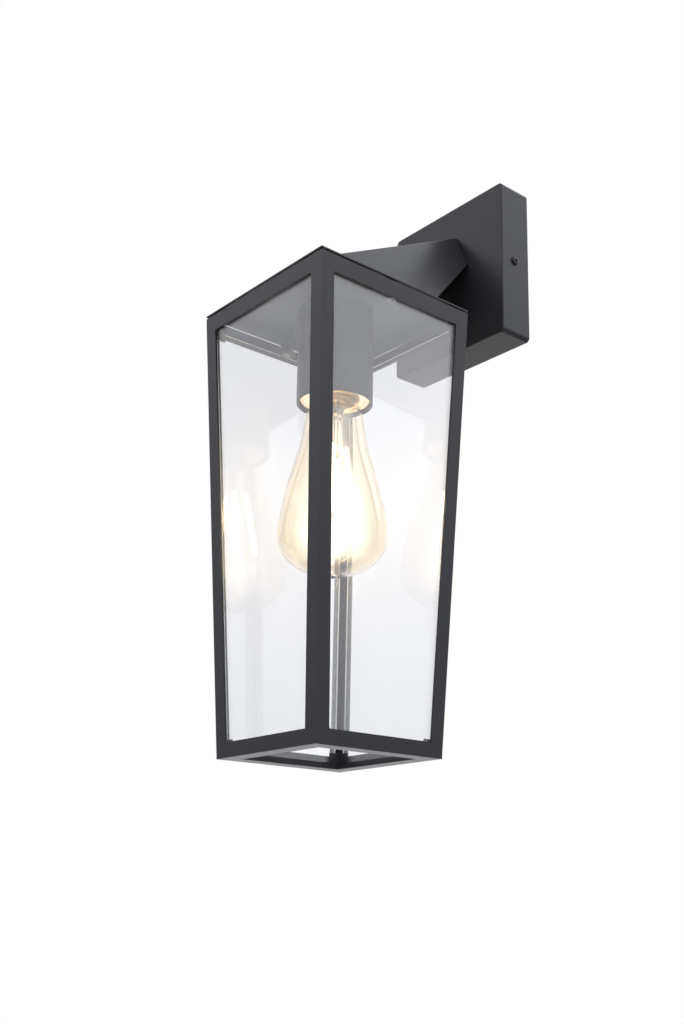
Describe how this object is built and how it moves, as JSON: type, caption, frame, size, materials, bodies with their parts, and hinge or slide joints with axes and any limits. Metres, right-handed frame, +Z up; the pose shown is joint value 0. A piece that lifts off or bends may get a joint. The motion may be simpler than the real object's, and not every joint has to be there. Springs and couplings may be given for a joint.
{
  "type": "outdoor wall lantern",
  "caption": "Outdoor wall lantern: tapered square cage with clear glass, hung by a hollow pyramid neck from a square wall box, with a screw-in filament bulb.",
  "frame": {"origin": "centre of the mounting bracket's back face, on the wall's surface", "axes": "+Z up, +Y into the wall, so the lantern hangs out along -Y; +X to the right of someone facing the wall"},
  "size_m": [0.1146, 0.1773, 0.384],
  "materials": {
    "graphite_paint": "satin graphite powder coat",
    "zinc_plate": "dull zinc plate",
    "black_screw": "black oxide",
    "green_screw": "green painted earth screw",
    "gasket_foam": "closed-cell foam",
    "clear_glass": "clear float glass, polished",
    "holder_cream": "cream thermoset moulding",
    "socket_brass": "bright brass",
    "cap_brass": "bright brass",
    "insulator_black": "black glass insulator",
    "amber_glass": "amber tinted glass",
    "stem_glass": "clear glass",
    "filament_glow": "glowing amber filament",
    "black_lead": "black wire covering",
    "white_lead": "white wire covering",
    "earth_copper": "bare copper"
  },
  "bodies": {
    "lantern": {"mounting_bracket": "zinc_plate", "ground_screw": "green_screw", "wall_box": "graphite_paint", "box_gasket": "gasket_foam", "side_screw_right": "black_screw", "side_screw_left": "black_screw", "neck": "graphite_paint", "neck_screw_right": "zinc_plate", "neck_screw_left": "zinc_plate", "lid": "graphite_paint", "top_rail_front": "graphite_paint", "bottom_rail_front": "graphite_paint", "glass_pane_front": "clear_glass", "top_rail_right": "graphite_paint", "bottom_rail_right": "graphite_paint", "glass_pane_right": "clear_glass", "top_rail_rear": "graphite_paint", "bottom_rail_rear": "graphite_paint", "glass_pane_rear": "clear_glass", "top_rail_left": "graphite_paint", "bottom_rail_left": "graphite_paint", "glass_pane_left": "clear_glass", "corner_post_front_right": "graphite_paint", "lower_clip_front_right": "black_screw", "upper_clip_front_right": "black_screw", "corner_post_rear_right": "graphite_paint", "lower_clip_rear_right": "black_screw", "upper_clip_rear_right": "black_screw", "corner_post_rear_left": "graphite_paint", "lower_clip_rear_left": "black_screw", "upper_clip_rear_left": "black_screw", "corner_post_front_left": "graphite_paint", "lower_clip_front_left": "black_screw", "upper_clip_front_left": "black_screw", "cage_screw_right": "zinc_plate", "cage_screw_left": "zinc_plate", "socket_cup": "graphite_paint", "socket_body": "holder_cream", "socket_screw_shell": "socket_brass", "centre_contact_tongue": "socket_brass", "socket_hub": "zinc_plate", "threaded_nipple": "zinc_plate", "nipple_locknut": "zinc_plate", "live_lead": "black_lead", "neutral_lead": "white_lead", "earth_wire": "earth_copper"},
    "bulb_seat": {"bulb_centre_contact": "cap_brass"},
    "bulb": {"bulb_glass": "amber_glass", "bulb_cap_shell": "cap_brass", "bulb_cap_insulator": "insulator_black", "bulb_stem": "stem_glass", "filament_1": "filament_glow", "filament_2": "filament_glow", "filament_3": "filament_glow", "filament_4": "filament_glow"}
  },
  "joints": [
    {"name": "bulb_travel", "type": "slide", "parent": "lantern", "child": "bulb_seat", "axis": [0, 0, -1], "range_m": [0, 0.0182]},
    {"name": "bulb_turn", "type": "hinge", "parent": "bulb_seat", "child": "bulb", "pos_m": [0, -0.12, -0.12], "axis": [0, 0, -1], "range_deg": [0, 1800]}
  ],
  "couplings": [
    {"joint": "bulb_travel", "follows": "bulb_turn", "m_per_rad": 0.00057757}
  ]
}
